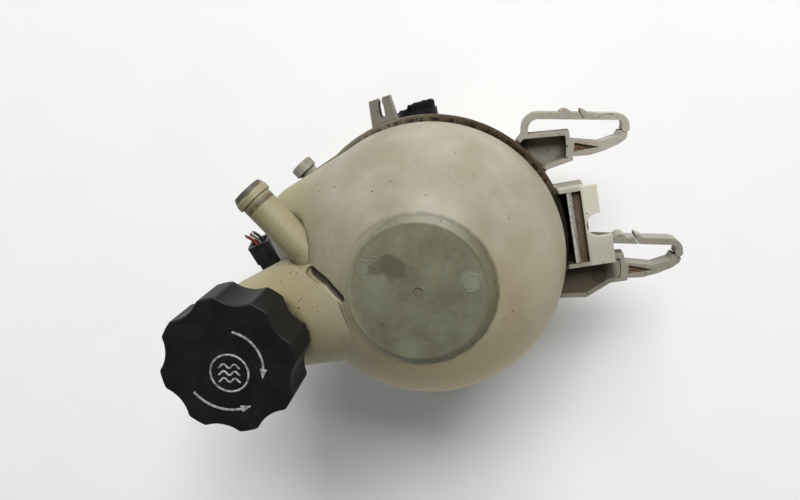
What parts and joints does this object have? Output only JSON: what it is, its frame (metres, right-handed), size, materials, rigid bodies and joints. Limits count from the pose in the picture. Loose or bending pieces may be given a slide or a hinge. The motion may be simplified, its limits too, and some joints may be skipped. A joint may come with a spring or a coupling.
{
  "type": "coolant expansion tank",
  "caption": "Ball-shaped coolant expansion tank with a filler tunnel under a lobed pressure cap, hose spigots, a level sensor, a bracket pocket and snap-shut hose clips.",
  "frame": {"origin": "centre of the bracket pocket's slot", "axes": "+Z along the axis of the ball, up through the raised disc and the filler cap; +X from the ball out through the pocket; +Y toward the outlet and the two-prong clip"},
  "size_m": [0.256, 0.1613, 0.177],
  "materials": {
    "shell": "aged translucent moulding",
    "cap": "satin black",
    "black_plastic": "matt black",
    "hose": "cut rubber",
    "seal": "smooth rubber",
    "clamp": "black coated steel",
    "electrode": "drawn rod",
    "spring_steel": "drawn wire",
    "brass": "turned",
    "wire_red": "cable insulation",
    "wire_grey": "cable insulation",
    "wire_dark": "cable insulation"
  },
  "bodies": {
    "tank": {"upper_shell": "shell", "filler_tunnel": "shell", "filler_neck": "shell", "return_spigot": "shell", "lower_shell": "shell", "outlet_hose_stub": "hose", "outlet_hose_clamp": "clamp", "level_sensor": "black_plastic", "sensor_seal": "seal", "sensor_electrode_left": "electrode", "sensor_electrode_right": "electrode", "sensor_plug": "black_plastic", "plug_wire_red": "wire_red", "plug_wire_grey": "wire_grey", "plug_wire_dark": "wire_dark"},
    "cap_insert": {"cap_cartridge": "black_plastic", "cap_seal_ring": "seal", "valve_seat_plate": "spring_steel", "pressure_spring": "spring_steel"},
    "cap": {"cap_knob": "cap"},
    "pressure_disc": {"pressure_valve": "brass", "pressure_valve_seal": "seal", "vacuum_spring": "spring_steel"},
    "vacuum_plunger": {"vacuum_valve": "brass"},
    "upper_strap": {"upper_clip_strap": "shell"},
    "lower_strap": {"lower_clip_strap": "shell"}
  },
  "joints": [
    {"name": "cap_rise", "type": "slide", "parent": "tank", "child": "cap_insert", "axis": [0, 0, 1], "range_m": [0, 0.0135]},
    {"name": "cap_turn", "type": "hinge", "parent": "cap_insert", "child": "cap", "pos_m": [-0.17082, -0.0158, 0.10098], "axis": [0, 0, 1], "range_deg": [0, 1080]},
    {"name": "pressure_relief", "type": "slide", "parent": "cap_insert", "child": "pressure_disc", "axis": [0, 0, 1], "range_m": [0, 0.0014], "stiffness_N_per_m": 1500, "springref_m": -0.004, "deforming": ["pressure_spring"]},
    {"name": "vacuum_relief", "type": "slide", "parent": "pressure_disc", "child": "vacuum_plunger", "axis": [0, 0, -1], "range_m": [0, 0.001], "stiffness_N_per_m": 200, "springref_m": -0.002, "deforming": ["vacuum_spring"]},
    {"name": "upper_clip_open", "type": "hinge", "parent": "tank", "child": "upper_strap", "pos_m": [0.03045, 0.04716, -0.002], "axis": [0, 0, -1], "range_deg": [0, 95]},
    {"name": "lower_clip_open", "type": "hinge", "parent": "tank", "child": "lower_strap", "pos_m": [0.05016, -0.02435, -0.002], "axis": [0, 0, -1], "range_deg": [0, 95]}
  ],
  "couplings": [
    {"joint": "cap_turn", "follows": "cap_rise", "rad_per_m": 1396.3}
  ]
}
